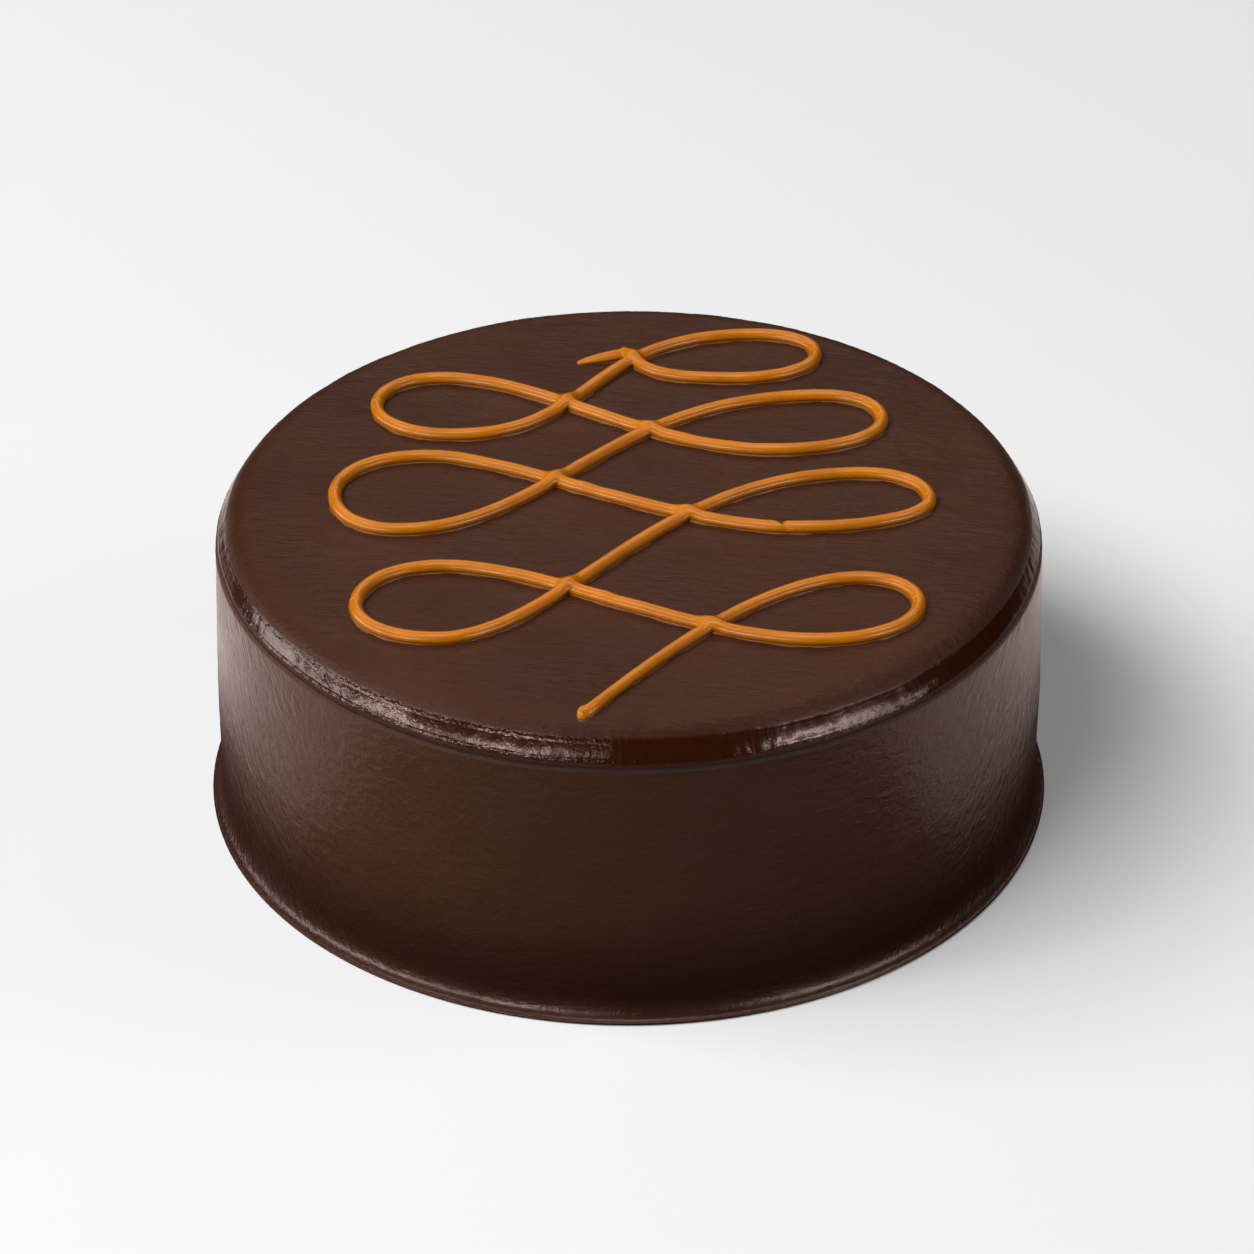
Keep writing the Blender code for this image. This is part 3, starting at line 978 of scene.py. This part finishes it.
def wall_material():
    """The side's icing, which is paler and shinier than the top, with painted shade and a painted dark
    reflection at the foot.
    """
    material, nodes, where = new_material("icing_wall")
    colour = nodes.mix(WALL_COLOUR_SHARE, icing_colour(nodes, where), ICING_WALL)
    # Painted shade and a painted dark reflection darken the wall towards its foot.
    painted_foot_shade = nodes.ramp(nodes.axis(where, "Z"), *FOOT_PAINTED_SHADE_ENDS, 1.0, 0.0)
    colour = nodes.mix(painted_foot_shade, colour, ICING_FOOT_PAINTED_SHADE)
    roughness = nodes.patches(where, *ICING_ROUGHNESS_NOISE, *WALL_ROUGHNESS)
    roughness = nodes.blend(nodes.attribute("under_rim"), roughness, LIP_ROUGHNESS)
    icing_shader(nodes, colour, roughness, WALL_INDEX, wall_fine_relief(nodes, where))
    return material


def cap_relief(nodes, where, over):
    """The fine relief of the icing's top and rim, as heights in mm."""
    flat = nodes.ramp(over, *FLAT_RELIEF_ENDS, 1.0, 0.0)
    rim = nodes.ramp(over, *RIM_RELIEF_FROM)
    edges = nodes.combined("ADD", (nodes.band(over, *edge) for edge in WRINKLED_EDGES))
    left = nodes.ramp(nodes.axis(where, "X"), *WRINKLES_LESSEN, 1.0, WRINKLES_LEFT_OVER)
    outwards = nodes.vector("MULTIPLY", where, (1.0, 1.0, 0.0))
    outwards = nodes.add("ShaderNodeVectorMath", {0: outwards}, operation="NORMALIZE")
    scale = {0: outwards, "Scale": RIM_RADIUS * MM}
    round_rim = nodes.add("ShaderNodeVectorMath", scale, operation="SCALE")
    across = nodes.math("MULTIPLY", over, COMB_OVER_SCALE * MM)
    comb = nodes.vector("ADD", round_rim, nodes.add("ShaderNodeCombineXYZ", {"Z": across}))
    strokes = nodes.scaled(nodes.turned(where, TOP_STROKE_TURN), TOP_STROKE_SCALE)
    return (
        nodes.relief(where, TOP_GRAIN, flat),
        nodes.relief(strokes, TOP_STROKES, flat),
        nodes.relief(where, RIM_WRINKLES, rim, left),
        nodes.relief(comb, RIM_COMB, rim),
        nodes.relief(where, RIM_EDGE_WRINKLES, edges, left),
        nodes.specks(where, CAP_PITS),
        nodes.specks(nodes.vector("ADD", where, CAP_SPECKS_AWAY), CAP_SPECKS),
    )


def wall_fine_relief(nodes, where):
    """The fine relief of the icing's side, as heights in mm."""
    aside = nodes.math("ABSOLUTE", nodes.axis(where, "X"))
    strokes = nodes.scaled(nodes.turned(where, WALL_STROKE_TURN), WALL_STROKE_SCALE)
    return (
        nodes.relief(where, WALL_GRAIN),
        nodes.relief(nodes.scaled(where, WALL_WAVE_SCALE), WALL_WAVES),
        nodes.relief(strokes, WALL_STROKES, nodes.ramp(aside, *STROKES_GROW, *STROKES_HEIGHT)),
        nodes.specks(where, WALL_PITS),
    )


def caramel_material():
    """Glossy caramel, darker and browner where it thins out to a film."""
    material, nodes, where = new_material("caramel")
    colour = nodes.mix(nodes.patches(where, *CARAMEL_COLOUR_NOISE), CARAMEL, CARAMEL_PATCHES)
    colour = nodes.mix(nodes.attribute("film"), colour, CARAMEL_FILM)
    roughness = nodes.patches(where, *CARAMEL_ROUGHNESS_NOISE, *CARAMEL_ROUGHNESS)
    bump = nodes.add("ShaderNodeBump", {
        "Height": nodes.noise(where, CARAMEL_BUMPS_PER_METRE), "Strength": CARAMEL_BUMP_STRENGTH,
        "Distance": CARAMEL_BUMP_HEIGHT * MM,
    })
    nodes.surface({
        "Base Color": colour, "Roughness": roughness, "IOR": CARAMEL_INDEX, "Normal": bump,
        "Coat Weight": CARAMEL_COAT, "Coat Roughness": CARAMEL_COAT_ROUGHNESS,
    })
    return material


# The stage. The floor: half its side in m, colour, roughness, and how far it lights itself to the camera.
FLOOR_REACH = 4.0
FLOOR_COLOUR = (0.50, 0.50, 0.50, 1.0)
FLOOR_ROUGHNESS = 0.8
FLOOR_GLOW = 0.13
BACKDROP = (0.82, 0.82, 0.82, 1.0)

# What the cake mirrors of the floor, as places and distances in m: painted reflections, which the camera
# doesn't see. It is dark under and beside the cake to every ray but the camera's, which also paints shade on
# the cake's foot, and to reflections in a round patch in front and far away. The ring between is brightest
# at one place to each side.
FLOOR_DARK = (0.020, 0.014, 0.012, 1.0)
MIRRORED_RING = (0.47, 0.39, 0.365, 1.0)
MIRRORED_BRIGHT = (0.95, 0.83, 0.79, 1.0)
DARK_NEAR = (0.126, 0.130)
DARK_PATCH = (0.0, -0.20, 0.0)
DARK_PATCH_REACH = (0.17, 0.20)
DARK_FAR = (0.36, 0.56)
BRIGHT_PLACES = ((-0.15, 0.075, 0.0), (0.15, 0.075, 0.0))
BRIGHT_REACH = (0.03, 0.13)

# The lights, all at one distance in m from a point over the floor: azimuth from +X towards +Y and
# elevation in degrees, width and height in m, and power in W. The soft lights don't show in reflections,
# and the cards show only there, mostly along the rim.
Light = namedtuple("Light", "azimuth elevation size power")
LIGHT_DISTANCE = 3.0
LIT_POINT = (0.0, 0.0, 0.04)
SOFT_LIGHTS = {
    "left_light": Light(180, 45, (1.8, 1.3), 74),
    "front_light": Light(-140, 55, (1.8, 1.3), 105),
    "right_light": Light(0, 20, (1.8, 1.3), 35),
}
SHINE_CARDS = (
    Light(90, 36.0, (1.6, 0.9), 5.0), Light(90, 80.0, (1.2, 0.9), 6.0),
    Light(112, 46.0, (0.9, 0.9), 3.5), Light(135, 42.0, (0.9, 0.9), 3.0),
    Light(68, 46.0, (0.9, 0.9), 2.0), Light(45, 42.0, (0.9, 0.9), 4.0),
    Light(180, 60.0, (1.2, 0.9), 8.0), Light(-90, 72.0, (1.2, 0.9), 12.0),
    Light(0, 60.0, (1.2, 0.9), 10.0), Light(-120, 17.0, (1.0, 0.18), 14.0),
    Light(-135, 14.5, (1.0, 0.18), 4.5), Light(-150, 12.5, (1.0, 0.18), 13.0),
    Light(-165, 9.5, (1.0, 0.2), 8.0), Light(180, 6.0, (1.0, 0.3), 6.5),
    Light(166, 5.0, (1.0, 0.5), 8.0), Light(-46, 15.5, (0.9, 0.12), 10.0),
    Light(-32, 13.0, (0.9, 0.15), 6.5), Light(-18, 10.0, (0.9, 0.15), 3.5),
    Light(-106, 18.5, (0.8, 0.15), 3.0),
)

# The camera, at the photograph's viewing angle: its place in m, in degrees how far it looks down and how
# far it is turned to the left, and in mm its lens and the width of its sensor.
CAMERA_PLACE = (-0.00016, -0.89342, 0.62187)
CAMERA_DOWN = 32.988
CAMERA_TURN = 0.017
CAMERA_LENS = 126.912
SENSOR_WIDTH = 36.0


def floor_material():
    """A plain pale floor, of which the cake mirrors only a ring."""
    material, nodes, where = new_material("pale_floor")
    away = nodes.distance(where, (0.0, 0.0, 0.0))
    near = nodes.ramp(away, *DARK_NEAR, 1.0, 0.0)
    front = nodes.ramp(nodes.distance(where, DARK_PATCH), *DARK_PATCH_REACH, 1.0, 0.0)
    seen = nodes.add("ShaderNodeLightPath", output="Is Camera Ray")
    mirrored = nodes.add("ShaderNodeLightPath", output="Is Glossy Ray")
    dark = nodes.math("MAXIMUM", front, nodes.ramp(away, *DARK_FAR))
    dark = nodes.math("MAXIMUM", near, nodes.math("MULTIPLY", dark, mirrored))
    dark = nodes.math("MULTIPLY", dark, nodes.math("SUBTRACT", 1.0, seen))
    beside = nodes.combined("MINIMUM", (nodes.distance(where, place) for place in BRIGHT_PLACES))
    ring = nodes.mix(nodes.ramp(beside, *BRIGHT_REACH, 1.0, 0.0), MIRRORED_RING, MIRRORED_BRIGHT)
    pale = nodes.mix(mirrored, FLOOR_COLOUR, ring)
    nodes.surface({
        "Base Color": nodes.mix(dark, pale, FLOOR_DARK), "Roughness": FLOOR_ROUGHNESS,
        "Specular IOR Level": 0.0, "Emission Color": nodes.mix(seen, BLACK, WHITE),
        "Emission Strength": FLOOR_GLOW,
    })
    return material


def make_light(name, light, card):
    """One soft light, or one card that only shines."""
    data = bpy.data.lights.new(name, "AREA")
    data.shape = "ELLIPSE" if card else "RECTANGLE"
    data.size, data.size_y = light.size
    data.energy = light.power
    lamp = bpy.data.objects.new(name, data)
    bpy.context.scene.collection.objects.link(lamp)
    turn, rise = math.radians(light.azimuth), math.radians(light.elevation)
    direction = np.array([math.cos(turn) * math.cos(rise), math.sin(turn) * math.cos(rise), math.sin(rise)])
    lamp.location = direction * LIGHT_DISTANCE + LIT_POINT
    lamp.rotation_euler = (math.pi / 2 - rise, 0.0, turn + math.pi / 2)
    lamp.visible_camera = False
    lamp.visible_diffuse = not card
    lamp.visible_glossy = card


def make_camera():
    """The camera of the photograph."""
    data = bpy.data.cameras.new("camera")
    data.lens = CAMERA_LENS
    data.sensor_width = SENSOR_WIDTH
    camera = bpy.data.objects.new("camera", data)
    camera.location = CAMERA_PLACE
    camera.rotation_euler = (math.radians(90 - CAMERA_DOWN), 0.0, math.radians(CAMERA_TURN))
    bpy.context.scene.collection.objects.link(camera)
    bpy.context.scene.camera = camera


def make_world():
    """Surroundings that only the camera sees, as a pale backdrop."""
    world = bpy.data.worlds.new("studio")
    world.use_nodes = True
    nodes = Nodes(world.node_tree)
    seen = nodes.add("ShaderNodeLightPath", output="Is Camera Ray")
    colour = nodes.mix(seen, BLACK, BACKDROP)
    background = nodes.add("ShaderNodeBackground", {"Color": colour, "Strength": 1.0})
    nodes.add("ShaderNodeOutputWorld", {"Surface": background})
    bpy.context.scene.world = world


def make_stage():
    """The floor, the surroundings and the lights."""
    corners = np.array([(-1, -1, 0), (1, -1, 0), (1, 1, 0), (-1, 1, 0)])
    floor = mesh_object("floor", corners * FLOOR_REACH / MM, [(0, 1, 2, 3)])
    floor.data.materials.append(floor_material())
    make_world()
    for name, light in SOFT_LIGHTS.items():
        make_light(name, light, card=False)
    for number, card in enumerate(SHINE_CARDS):
        make_light(f"shine_{number}", card, card=True)
    bpy.context.scene.view_settings.view_transform = "Standard"


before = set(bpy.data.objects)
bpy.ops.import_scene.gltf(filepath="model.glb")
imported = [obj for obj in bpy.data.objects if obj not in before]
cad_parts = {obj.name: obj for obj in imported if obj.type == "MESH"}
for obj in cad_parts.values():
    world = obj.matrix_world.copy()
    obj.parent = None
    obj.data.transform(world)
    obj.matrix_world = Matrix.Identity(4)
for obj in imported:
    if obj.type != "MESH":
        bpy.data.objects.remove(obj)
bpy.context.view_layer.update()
make_camera()
make_stage()
cap = make_cap()
wall = make_wall()
caramel = make_caramel()
for piece, material, slot in (
    (cap, cap_material(), "chocolate_icing"),
    (wall, wall_material(), "chocolate_icing"),
    (caramel, caramel_material(), "caramel"),
):
    piece.data.materials.clear()
    piece.data.materials.append(material)
    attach(piece, "root")
    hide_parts("chocolate_cake")
